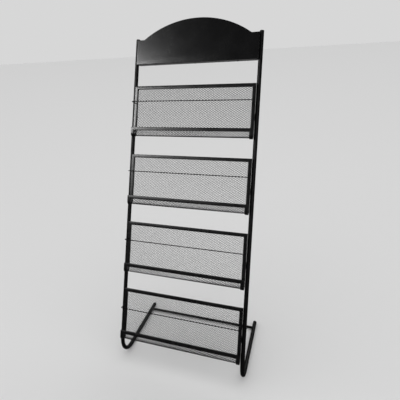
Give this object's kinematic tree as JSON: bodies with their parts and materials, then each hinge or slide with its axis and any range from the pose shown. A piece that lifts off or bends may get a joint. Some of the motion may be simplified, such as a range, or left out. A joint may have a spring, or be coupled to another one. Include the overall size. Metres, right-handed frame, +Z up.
{
  "type": "brochure rack",
  "caption": "Floor-standing brochure rack: leaning tube frame with an arched header and mesh pockets, each with a front bar and a retaining wire.",
  "frame": {"origin": "centre of the bounding box at floor level", "axes": "+Z up, -Y towards the person in front of the rack, +X to that person's right; the uprights lean back by 20 degrees about X"},
  "size_m": [0.619, 0.5548, 1.592],
  "materials": {
    "black_powder_coat": "satin black powder coat with a fine orange peel",
    "black_header": "smooth semi-gloss black coat",
    "black_mesh": "satin black coat on expanded metal mesh",
    "black_plastic": "matte moulded black plastic",
    "black_screw": "blackened steel"
  },
  "bodies": {
    "root": {"header_crossbar": "black_powder_coat", "header_panel": "black_header", "header_screw_1": "black_screw", "header_screw_2": "black_screw", "header_screw_3": "black_screw", "left_leg_cap": "black_plastic", "left_top_cap": "black_plastic", "left_upright": "black_powder_coat", "pocket_1_front_bar": "black_powder_coat", "pocket_1_left_lug": "black_powder_coat", "pocket_1_left_screw": "black_screw", "pocket_1_left_side_rail": "black_powder_coat", "pocket_1_mesh": "black_mesh", "pocket_1_retaining_wire": "black_powder_coat", "pocket_1_right_lug": "black_powder_coat", "pocket_1_right_screw": "black_screw", "pocket_1_right_side_rail": "black_powder_coat", "pocket_1_top_rail": "black_powder_coat", "pocket_2_front_bar": "black_powder_coat", "pocket_2_left_lug": "black_powder_coat", "pocket_2_left_screw": "black_screw", "pocket_2_left_side_rail": "black_powder_coat", "pocket_2_mesh": "black_mesh", "pocket_2_retaining_wire": "black_powder_coat", "pocket_2_right_lug": "black_powder_coat", "pocket_2_right_screw": "black_screw", "pocket_2_right_side_rail": "black_powder_coat", "pocket_2_top_rail": "black_powder_coat", "pocket_3_front_bar": "black_powder_coat", "pocket_3_left_lug": "black_powder_coat", "pocket_3_left_screw": "black_screw", "pocket_3_left_side_rail": "black_powder_coat", "pocket_3_mesh": "black_mesh", "pocket_3_retaining_wire": "black_powder_coat", "pocket_3_right_lug": "black_powder_coat", "pocket_3_right_screw": "black_screw", "pocket_3_right_side_rail": "black_powder_coat", "pocket_3_top_rail": "black_powder_coat", "pocket_4_front_bar": "black_powder_coat", "pocket_4_left_lug": "black_powder_coat", "pocket_4_left_screw": "black_screw", "pocket_4_left_side_rail": "black_powder_coat", "pocket_4_mesh": "black_mesh", "pocket_4_retaining_wire": "black_powder_coat", "pocket_4_right_lug": "black_powder_coat", "pocket_4_right_screw": "black_screw", "pocket_4_right_side_rail": "black_powder_coat", "pocket_4_top_rail": "black_powder_coat", "rear_crossbar": "black_powder_coat", "right_leg_cap": "black_plastic", "right_top_cap": "black_plastic", "right_upright": "black_powder_coat"}
  },
  "joints": []
}
